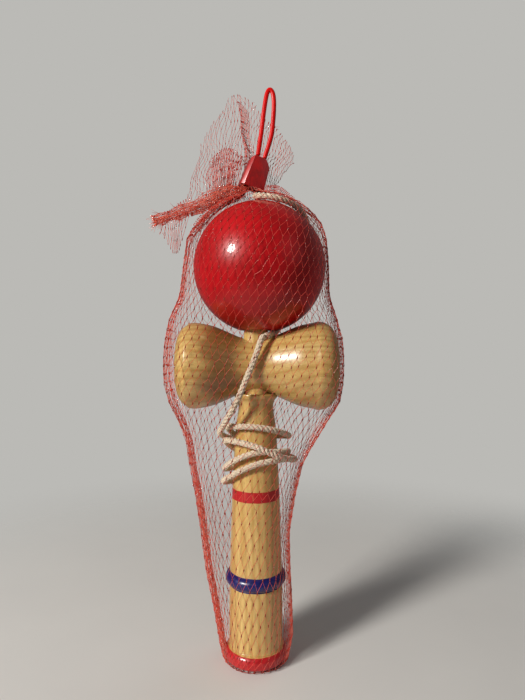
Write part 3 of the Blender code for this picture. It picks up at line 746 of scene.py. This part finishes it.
def string_on_handle_line():
    """Down across the cross cup, four loose turns round the handle, then up the back to the knot."""
    front = [(3.2, -9.2, 130.6), (2.4, -10.1, 129.9), (1.2, -12, 126.5), (-0.4, -12.9, 122),
             (-2.2, -13.1, 117.5), (-4.4, -12.9, 112), (-7, -12.4, 106), (-10, -11.2, 100.5)]
    turns = [round_handle(*place) for place in (
        (58, 15, 95.6), (92, 14.6, 91), (135, 14.2, 87.6), (180, 14.2, 87.2), (225, 14, 88.6),
        (270, 13.4, 90.4), (315, 10.8, 93.6), (360, 10.2, 95.3), (405, 10.8, 95.2), (450, 11.6, 93.8),
        (495, 11.2, 88.6), (540, 12.4, 84.6), (585, 14.9, 81.4), (630, 15.9, 80.8), (675, 14.6, 83.4),
        (697, 14.2, 85.8), (720, 13, 88.2), (765, 11.7, 89.6), (810, 12.6, 88.2), (855, 12, 83),
        (900, 11.3, 80.4), (945, 12, 81.8), (990, 13.2, 83.9), (1035, 11.4, 85.2), (1080, 10.6, 85.4),
        (1125, 11.6, 82), (1170, 12.6, 77), (1215, 11.8, 75.6), (1260, 11.3, 76.6), (1305, 12, 78.8),
        (1350, 13, 80.9), (1395, 11.4, 81.9), (1440, 10.8, 80.8), (1485, 12, 76.6), (1530, 13.2, 71.8),
        (1570, 13, 69.8))]
    back = [(-7, 13.6, 71.6), (-3.4, 16.2, 76.5), (-1.6, 17.2, 83.5), (-0.8, 17.2, 91), (-0.2, 15.8, 100),
            (0, 14.4, 108.5), (0, 14.2, 114), (0, 13.4, 117.4), (0, 11, 119), (0, 7, 119), (0, -1.1, 119)]
    return front + turns + back


def laid_cord(name, line, finish, fibres):
    """Three strands twisted together along the line, with loose fibre ends standing off them."""
    line = evenly(spline(line, 24), 0.36)
    first, second = side_frames(line)
    reach = np.arange(len(line)) * np.linalg.norm(line[1] - line[0])
    shape = Shape()
    strands = []
    for k in range(3):
        turn = reach * math.tau / LAY_PITCH + k * math.tau / 3
        out = np.cos(turn)[:, None] * first + np.sin(turn)[:, None] * second
        wobble = 1 + 0.05 * np.sin(reach * 1.3 + k * 2)
        centre = line + out * STRAND_OFFSET
        strands.append((centre, out))
        shape.tube(centre, STRAND_R * wobble, 8)
    for _ in range(fibres):
        centre, out = strands[rng.integers(3)]
        i = rng.integers(4, len(line) - 6)
        away = unit(out[i] + rng.normal(0, 0.5, 3))
        ahead = unit(line[i + 3] - line[i]) * rng.choice((-1, 1))
        size = rng.uniform(0.5, 1.5)
        curl = unit(np.cross(away, ahead)) * rng.normal(0, 0.25)
        steps = np.linspace(0, 1, 4)[:, None]
        hair = centre[i] + out[i] * STRAND_R * 0.6 + size * (
            away * (steps * 0.8 - steps ** 2 * 0.35) + ahead * steps * 0.7 + curl * steps ** 2)
        shape.tube(hair, np.array([0.035, 0.03, 0.022, 0.012]), 3, tone=1)
    return shape.piece(name, finish)


def tight_knot(name, node, finish, body):
    """An overhand knot of the string, pulled tight, filling the CAD node's place."""
    place, size = box(node)[2:]
    turn = np.linspace(0, math.tau, 73)
    path = np.stack([np.sin(turn) + 2 * np.sin(2 * turn), np.cos(turn) - 2 * np.cos(2 * turn),
                     -np.sin(3 * turn) * 1.5], axis=1) / 3 * size * 0.56
    shape = Shape()
    shape.tube(path + np.array(place), size * 0.42, 12)
    settle(shape.piece(name, finish), node, body)


def build_string(finish):
    cord = laid_cord("string_over_ball_laid", string_over_ball_line(), finish, 260)
    settle(cord, "string_over_ball")
    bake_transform(cord)
    wound = laid_cord("string_on_handle_laid", string_on_handle_line(), finish, 700)
    settle(wound, "string_on_handle", "handle")
    tight_knot("bead_knot_tied", "bead_knot", finish, "string_end")
    tight_knot("anchor_knot_tied", "anchor_knot", finish, "handle")


# ---- netting
def filament_runs(rows, columns, wrap, family):
    """The joints (row, column) along each filament of one of the two families."""
    if wrap or family == 0:
        return [[(j, (k - family * j) % columns) for j in range(rows)] for k in range(columns)]
    starts = [(0, k) for k in range(columns)] + [(j, columns - 1) for j in range(1, rows - 1)]
    runs = [[(j + i, k - i) for i in range(min(rows - j, k + 1))] for j, k in starts]
    return [run for run in runs if len(run) > 1]


def net_mesh(shape, grid, wrap, strand_r=NET_STRAND_R):
    """Filaments and joints through a grid of joints [row, column]. Row j + 1 lies half a column on."""
    rows, columns = grid.shape[:2]
    padded = np.pad(grid, ((0, 0), (1, 1), (0, 0)), mode="wrap" if wrap else "edge")
    left = padded[:, :-2]
    right = padded[:, 2:]
    above = np.concatenate([(grid[1:] + left[1:]) / 2, grid[-1:] * 2 - grid[-2:-1]], axis=0)
    below = np.concatenate([grid[:1] * 2 - grid[1:2], (grid[:-1] + right[:-1]) / 2], axis=0)
    up = unit(above - below)
    span = np.linalg.norm(above - below, axis=-1, keepdims=True) / 2
    across = unit(right - left)
    out = unit(np.cross(up, across))
    reach = up * np.minimum(NET_KNOT_HALF, span * 0.3)
    for family, share in enumerate(NET_FAMILY_SHARES):
        for run in filament_runs(rows, columns, wrap, family):
            j, k = np.array(run).T
            points = np.stack([(grid - reach)[j, k], (grid + reach)[j, k]], axis=1).reshape(-1, 3)
            tangent = unit(np.gradient(points, axis=0))
            sideways = unit(np.cross(tangent, np.repeat(out[j, k], 2, axis=0)))
            shape.tube(points, strand_r * share, 3, (sideways, np.cross(sideways, tangent)))
    turns = np.array([-1, 0, 1])[:, None]
    swell = np.array([0.5, 1.1, 0.5]) * NET_KNOT_R
    for j in range(rows):
        for k in range(columns):
            frames = (np.tile(across[j, k], (3, 1)), np.tile(out[j, k], (3, 1)))
            shape.tube(grid[j, k] + reach[j, k] * 1.1 * turns, swell, 4, frames, tone=1, flat=0.8)


def fray(shape, grid, count, length):
    """Loose filament ends that stand off the netting at random joints."""
    flat = grid.reshape(-1, 3)
    middle_line = grid.mean(axis=1)
    ahead = unit(np.gradient(middle_line, axis=0))
    steps = np.linspace(0, 1, 6)[:, None]
    for _ in range(count):
        i = rng.integers(len(flat))
        row = i // grid.shape[1]
        away = unit(unit(flat[i] - middle_line[row]) * 0.55 + ahead[row] + rng.normal(0, 0.35, 3))
        bend = unit(np.cross(away, rng.normal(0, 1, 3))) * rng.uniform(0.2, 0.7)
        size = length * rng.uniform(0.4, 1)
        hair = flat[i] + size * (away * steps + bend * steps ** 2)
        shape.tube(hair, LOOSE_STRAND_R * (1 - 0.5 * steps[:, 0]), 3)


def bag_table():
    """The CAD bag's outer surface as radii about a centre line, at heights and turns."""
    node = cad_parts["net_bag"]
    tree = BVHTree.FromPolygons([v.co for v in node.data.vertices],
                                [tuple(p.vertices) for p in node.data.polygons])
    heights = np.linspace(1.8, 192.3, 190)
    turns = np.arange(96) * math.tau / 96

    def surface(centre, z, out):
        """Where the bag is first met on the way in to (centre, 0, z)."""
        start = Vector((centre, 0, z)) + out * 90
        return tree.ray_cast(start * MM, -out)[0] / MM

    centres = []
    radii = np.zeros((len(heights), len(turns)))
    for i, z in enumerate(heights):
        centre = sum(surface(0, z, Vector((side, 0, 0))).x for side in (-1, 1)) / 2
        centres.append(centre)
        for k, turn in enumerate(turns):
            hit = surface(centre, z, Vector((math.sin(turn), -math.cos(turn), 0)))
            radii[i, k] = math.hypot(hit.x - centre, hit.y)
    kernel = np.array([1, 2, 3, 2, 1]) / 9
    smooth = sum(w * np.roll(radii, s - 2, axis=1) for s, w in enumerate(kernel))
    padded = np.pad(smooth, ((2, 2), (0, 0)), mode="edge")
    smooth = sum(w * padded[s:s + len(heights)] for s, w in enumerate(kernel))
    radii = np.maximum(smooth, radii - 0.3)
    return heights, turns, np.array(centres), radii


def bump_curve(x, middle_x, width):
    return np.exp(-0.5 * ((x - middle_x) / width) ** 2) / (width * math.sqrt(math.tau))


def joint_density(along, left, right):
    """Joints per millimetre round one row: even, with the spare ones gathered in pleats at the sides."""
    around = along[-1]
    spare = max(NET_COLUMNS - around / NET_PITCH, 0)
    narrow = min(around / 30, PLEAT_MAX_W)
    pleats = sum(share * bump_curve(along, left if side < 0 else right, narrow * spread)
                 for side, share, spread in PLEATS)
    return (NET_COLUMNS - spare) / around + spare * pleats


def bag_grid():
    """Joints of the bag's netting [row, column], spread evenly but gathered in pleats at the sides."""
    heights, turns, centres, radii = bag_table()
    mean_r = radii.mean(axis=1)
    climb = np.hypot(np.diff(heights), np.diff(mean_r))
    row_h = np.interp(mean_r[1:], (16, 29), (NET_ROW_NARROW, NET_ROW_WIDE))
    reach = np.concatenate([[0], np.cumsum(climb / row_h)])
    rows = int(reach[-1]) + 1
    levels = np.interp(np.linspace(0, reach[-1], rows), reach, heights)
    fine = np.linspace(0, math.tau, 721)
    grid = np.zeros((rows, NET_COLUMNS, 3))
    for j, z in enumerate(levels):
        column = np.array([np.interp(z, heights, radii[:, k]) for k in range(len(turns))])
        centre = np.interp(z, heights, centres)
        ring_r = np.interp(fine, turns, column, period=math.tau)
        ring = np.stack([centre + ring_r * np.sin(fine), -ring_r * np.cos(fine)], axis=1)
        along = reach_along(ring)
        left, right = (np.interp(turn * math.pi, fine, along) for turn in (1.5, 0.5))
        density = joint_density(along, left, right)
        count = np.concatenate([[0], np.cumsum((density[1:] + density[:-1]) / 2 * np.diff(along))])
        count *= NET_COLUMNS / count[-1]
        wanted = (np.arange(NET_COLUMNS) + j * (0.5 + NET_SHEAR)) % NET_COLUMNS
        wanted = (wanted + rng.normal(0, NET_SCATTER, NET_COLUMNS)) % NET_COLUMNS
        turn = np.interp(wanted, count, fine)
        radius = np.interp(turn, fine, ring_r)
        crowd = np.interp(wanted, count, density) * along[-1] / NET_COLUMNS
        fold = np.clip((crowd - 1.6) / 3, 0, 1) * FOLD_DEPTH
        radius = radius + fold * (np.sin(wanted * math.tau / FOLD_COLUMNS + z * 0.07) - 0.55)
        lift = rng.normal(0, NET_SCATTER_Z, NET_COLUMNS)
        grid[j] = np.stack([centre + radius * np.sin(turn), -radius * np.cos(turn), z + lift], axis=1)
    return grid


def bag_bottom(first_row):
    """Joints under the foot: the bag's end is drawn in to a weld in the foot's hollow."""
    middle = first_row.mean(axis=0)
    rows = []
    for share, z in ((0.1, 1.7), (0.34, 1.1), (0.58, 0.5), (0.84, 0.42), (0.93, 0.7)):
        row = middle + (first_row - middle) * share
        row[:, 2] = z
        rows.append(row)
    return np.array(rows)


def build_bag(finish):
    grid = bag_grid()
    bottom = bag_bottom(grid[0])
    shape = Shape()
    net_mesh(shape, np.concatenate([bottom, grid], axis=0), True)
    weld = [(*bottom[0, :, :2].mean(axis=0), z) for z in np.linspace(0.9, 3, 5)]
    shape.tube(weld, np.array([0.8, 1.5, 1.7, 1.4, 0.6]), 12, tone=0.7)
    bag = shape.piece("net_bag_woven", finish)
    settle(bag, "net_bag")
    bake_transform(bag)


def crumple(points, size, depth, seed):
    """Points moved by smooth noise."""
    shift = Vector((seed, seed * 0.7, 0))
    moves = [noise.noise_vector(Vector(p) / size + shift) for p in points.reshape(-1, 3)]
    return points + np.array(moves).reshape(points.shape) * depth


def sheet(low, high, rows, columns, bulge, folds, seed, depth=2.2):
    """Joints on an open sheet between two edge curves, pleated along its length and crumpled."""
    low = spline(low, 24)
    high = spline(high, 24)
    grid = np.zeros((rows, columns, 3))
    for j in range(rows):
        share = j / (rows - 1)
        for k in range(columns):
            place = (k + 0.5 * j) / (columns + 0.5 * rows)
            a = low[round(place * (len(low) - 1))]
            b = high[round(place * (len(high) - 1))]
            pleat = math.sin(place * folds * math.tau + share * 2) * math.sin(math.pi * min(share * 1.4, 1))
            grid[j, k] = a * (1 - share) + b * share
            grid[j, k, 1] += bulge * math.sin(math.pi * share) + 1.3 * pleat
    return crumple(grid, 9, depth, seed), False


def bunch(line, rows, columns, bellies, seed):
    """Joints round a gathered length of netting that follows the line and closes on itself."""
    line = spline(line, 12)
    first, second = side_frames(line)
    grid = np.zeros((rows, columns, 3))
    for j in range(rows):
        share = j / (rows - 1)
        i = round(share * (len(line) - 1))
        belly = np.interp(share, np.linspace(0, 1, len(bellies)), bellies)
        for k in range(columns):
            turn = (k + 0.5 * j) / columns * math.tau
            radius = belly * (0.66 + 0.34 * math.sin(turn * 3 + share * 3 + seed))
            grid[j, k] = line[i] + radius * (math.cos(turn) * first[i] * 0.7 + math.sin(turn) * second[i])
    return crumple(grid, 4, 1.5, seed), True


def loose_piece(name, layers, finish, node=None, ends=40, end_length=1.4, yields=None):
    """A piece of slack netting; when yields (axis, anchor, keep) is given, the piece only gets a mesh of its
    own, and its values are not used.
    """
    shape = Shape()
    for grid, wrap in layers:
        net_mesh(shape, grid, wrap, LOOSE_STRAND_R)
    fray(shape, layers[0][0], ends, end_length)
    made = shape.piece(name, finish)
    settle(made, node, "string_end")
    if yields:
        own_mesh(made)


def build_tail(finish, pale):
    """The net's mouth above the clip: a dense bunch to the left and loose sheets behind it."""
    line = [(-4.6, -0.4, 191), (-9, -0.8, 190.4), (-14, -1.4, 188.6), (-20, -2.2, 185.6),
            (-28, -3.2, 181.8), (-35, -3.8, 178.9), (-40.5, -4.2, 176.8)]
    lower = [(x * 0.9, y - 1.4, z - 1.6 + 0.03 * x) for x, y, z in line[:5]]
    loose_piece("net_tail_bunch", [
        bunch(line, 13, 22, (2.8, 4.8, 5.2, 4.6, 3.7, 3.4, 3.6), 2),
        bunch(line, 11, 12, (1.4, 2.8, 3.3, 2.9, 2.3, 2.3, 2.6), 8.1),
        bunch(lower, 10, 12, (1, 1.8, 1.6, 1.2, 0.8), 3.7)
    ], finish, "net_tail", 420, 3.1, ((0, 0, 1), (0, 0, 187), 0.3))
    loose_piece("net_frill_sheet", [
        sheet([(-32, 7, 180), (-18, 5.6, 190), (-4, 4.6, 192), (6, 5.6, 193), (13, 7.5, 190)],
              [(-31.5, 13, 203), (-21, 16, 222), (-8.2, 17.5, 239), (2.5, 17, 229), (12.2, 15.5, 219.5),
               (15.8, 13, 203.5)], 12, 34, 0.5, 4, 5),
        sheet([(-3.5, 5, 195), (-1, 6, 194.5), (2.5, 6, 195)],
              [(-9.6, 18, 237), (-6.8, 17.2, 235.5), (-2.2, 16.6, 229.5)], 13, 10, 0.5, 2, 6.3, 1.2)
    ], pale, "net_frill", 90, 2, ((0, 1, 0), (0, 17, 0), 0.5))
    loose_piece("net_frill_puff", [
        sheet([(-21, 3.5, 187), (-14, 2.5, 190), (-5, 2, 192)],
              [(-21.5, 5, 203), (-13, 4, 209), (-4.5, 4, 205)], 7, 16, -5, 2, 9, 1.8),
        sheet([(-20, 5, 189.5), (-14, 5, 191), (-5, 4.5, 192)],
              [(-20, 5, 204.5), (-12.5, 4.5, 209.2), (-4.5, 4.5, 205)], 6, 14, 2, 2, 4.4, 1.8),
        sheet([(-13, 2, 189), (-9, 1.5, 190.5), (-5, 1.5, 191.5)],
              [(-12, 3, 201), (-8.5, 3, 203.5), (-4.5, 3.5, 204.5)], 7, 9, -1.5, 2, 2.7, 1.4)
    ], pale, yields=((1, 0, 0), (-21.5, 0, 0), 0.55))
    loose_piece("net_tail_drape", [
        sheet([(-25.5, -9, 184.5), (-33, -5, 181.5), (-39.5, -4.6, 179.5)],
              [(-25, -15.5, 171.5), (-30, -10.5, 164.5), (-34, -7, 166), (-40, -5.5, 175)],
              5, 11, -1.5, 1.5, 7.2, 1.5)], pale)
    loose_piece("net_neck_ridge", [
        sheet([(-5.5, -6, 187), (-13, -7, 183), (-19.3, -7, 177.5), (-24, -7, 170.5)],
              [(-6.3, -3, 189.6), (-14.2, -3.5, 186.4), (-21, -3.5, 181), (-26, -3.5, 174)],
              4, 26, -0.3, 5, 3.3, 0.7),
        sheet([(2.6, -4.5, 189.2), (9, -7, 186.8), (15, -7, 182.8)],
              [(3.4, -4.4, 191.6), (9.5, -6, 190.2), (15.8, -6.4, 185.4)], 5, 20, -0.3, 3, 1.3, 0.7)], pale)


# ---- clip
def clip_frame(unit_size=1):
    tilt = Matrix.Rotation(CLIP_TILT, 4, "Y") @ Matrix.Rotation(CLIP_TURN, 4, "Z")
    return Matrix.Translation(CLIP_PIVOT * unit_size) @ tilt


def clip_box(name, size, height, shoulders=(), facet=0, rounding=0, finish=None):
    """A box in the clip's frame that narrows upwards; shoulders slope its left and right top edges, and
    facet cuts its left front corner."""
    work = bmesh.new()
    bmesh.ops.create_cube(work, size=1)
    bmesh.ops.scale(work, vec=size, verts=work.verts)
    bmesh.ops.translate(work, vec=(0, 0, height), verts=work.verts)
    near = 0.1
    top = max(v.co.z for v in work.verts)
    for side, slope in zip((-1, 1), shoulders):
        edges = [e for e in work.edges if min(v.co.z for v in e.verts) > top - near
                 and min(v.co.x * side for v in e.verts) > size.x / 2 - near]
        bmesh.ops.bevel(work, geom=edges, offset=slope, segments=1, affect="EDGES")
    if facet:
        edges = [e for e in work.edges if max(v.co.x for v in e.verts) < near - size.x / 2
                 and max(v.co.y for v in e.verts) < near - size.y / 2]
        bmesh.ops.bevel(work, geom=edges, offset=facet, segments=1, affect="EDGES")
    for v in work.verts:
        v.co.x *= 1 - (1 - CLIP_TOP_SHARE) * v.co.z / CLIP_SIZE.z
    made = from_work(name, work, finish)
    if rounding:
        step = made.modifiers.new("rounding", "BEVEL")
        step.width = rounding * MM
        step.segments = 5
        apply_steps(made)
    made.data.transform(clip_frame(MM))
    return made


def build_clip(finish, loop_finish):
    collar = clip_box("clip_collar_moulded", CLIP_SIZE, CLIP_SIZE.z / 2, CLIP_SHOULDERS, CLIP_FACET,
                      CLIP_ROUNDING, finish)
    inside = Vector((CLIP_SIZE.x - 2 * CLIP_WALL, CLIP_SIZE.y - 2 * CLIP_WALL, CLIP_HOLLOW_H + 1))
    carve(collar, [clip_box("hollow", inside, (CLIP_HOLLOW_H - 1) / 2)])
    settle(collar, "clip_collar", "clip")

    height = CLIP_SIZE.z + 1.2
    left, right = (clip_frame() @ Vector((side * LOOP_HALF_GAUGE, 0, height)) for side in (-1, 1))
    line = evenly(spline([left, *((x, 0, z) for x, z in LOOP_LINE), right], 16), 0.4)
    tangent = unit(np.gradient(line, axis=0))
    deep = np.broadcast_to(np.array((0, 1, 0)), line.shape)
    wide = unit(np.cross(deep, tangent))
    shape = Shape()
    shape.tube(line, LOOP_WIDE, 14, (wide, deep), flat=LOOP_THIN / LOOP_WIDE)
    settle(shape.piece("clip_loop_moulded", loop_finish), "clip_loop", "loop")


# ---- stage
def build_floor():
    """A pale disk that fades into the backdrop."""
    look = Look("floor")
    place = look.coords()
    axes = look.split(place)
    far = look.maths("SQRT", look.plus(look.times(axes[0], axes[0]), look.times(axes[1], axes[1])))
    grey = look.mix(look.noise(place, 0.02, 4), srgb(216, 214, 211), srgb(224, 222, 218))
    look.set(Base_Color=grey, Roughness=0.75)
    look.blend(look.remap(far, *FLOOR_FADE), look.shader, look.node("BsdfTransparent"), "Material Output")
    work = bmesh.new()
    bmesh.ops.create_circle(work, cap_ends=True, segments=96, radius=1000)
    from_work("floor", work, look.material)


def build_backdrop():
    """Plain grey to the camera, faint in reflections, and weak all-round light."""
    world = bpy.data.worlds.new("world")
    bpy.context.scene.world = world
    sky = Nodes(world)
    ambient = sky.node("Background", {"Color": srgb(236, 236, 238), "Strength": 0.1})
    seen = sky.node("Background", {"Color": srgb(187, 186, 182)})
    ray = sky.node("LightPath").outputs
    share = sky.maths("MULTIPLY_ADD", ray["Is Glossy Ray"], BACKDROP_IN_REFLECTIONS, ray["Is Camera Ray"])
    sky.blend(share, ambient, seen, "World Output")


def build_lights():
    """A soft key light from the left, gentle fill, and a back light that shows in no reflection."""
    for name, towards, distance, size, power, colour in LIGHTS:
        data = bpy.data.lights.new(name, "AREA")
        data.shape = "DISK"
        data.size = size
        data.energy = power
        data.color = colour
        lamp = in_scene(name, data)
        towards = Vector(towards).normalized()
        lamp.location = LIT_POINT + towards * distance
        lamp.rotation_mode = "QUATERNION"
        lamp.rotation_quaternion = towards.to_track_quat("Z", "Y")
        lamp.visible_glossy = name != "back"


def build_camera():
    data = bpy.data.cameras.new("camera")
    data.lens = 26
    data.clip_start = 0.005
    camera = in_scene("camera", data)
    camera.location = CAMERA
    camera.rotation_euler = (math.radians(90), 0, 0)
    bpy.context.scene.camera = camera


# ---- everything
bpy.context.scene.view_settings.view_transform = "Standard"
build_handle(handle_look())
build_cross_cup(cup_look())
build_ball(ball_look())
build_string_bead(bead_look())
build_string(cotton_look())
build_bag(netting_look("netting", srgb(255, 162, 142), srgb(240, 82, 64)))
build_tail(netting_look("netting_tail", srgb(255, 150, 124), srgb(255, 118, 94), 0.3),
           netting_look("netting_sheet", srgb(255, 158, 140), srgb(232, 84, 72)))
build_clip(plastic_look("clip_plastic", srgb(188, 5, 4), srgb(150, 3, 4), 1),
           plastic_look("loop_plastic", srgb(222, 18, 14), srgb(200, 10, 10), 0.2))
build_floor()
build_backdrop()
build_lights()
build_camera()
bpy.context.view_layer.update()
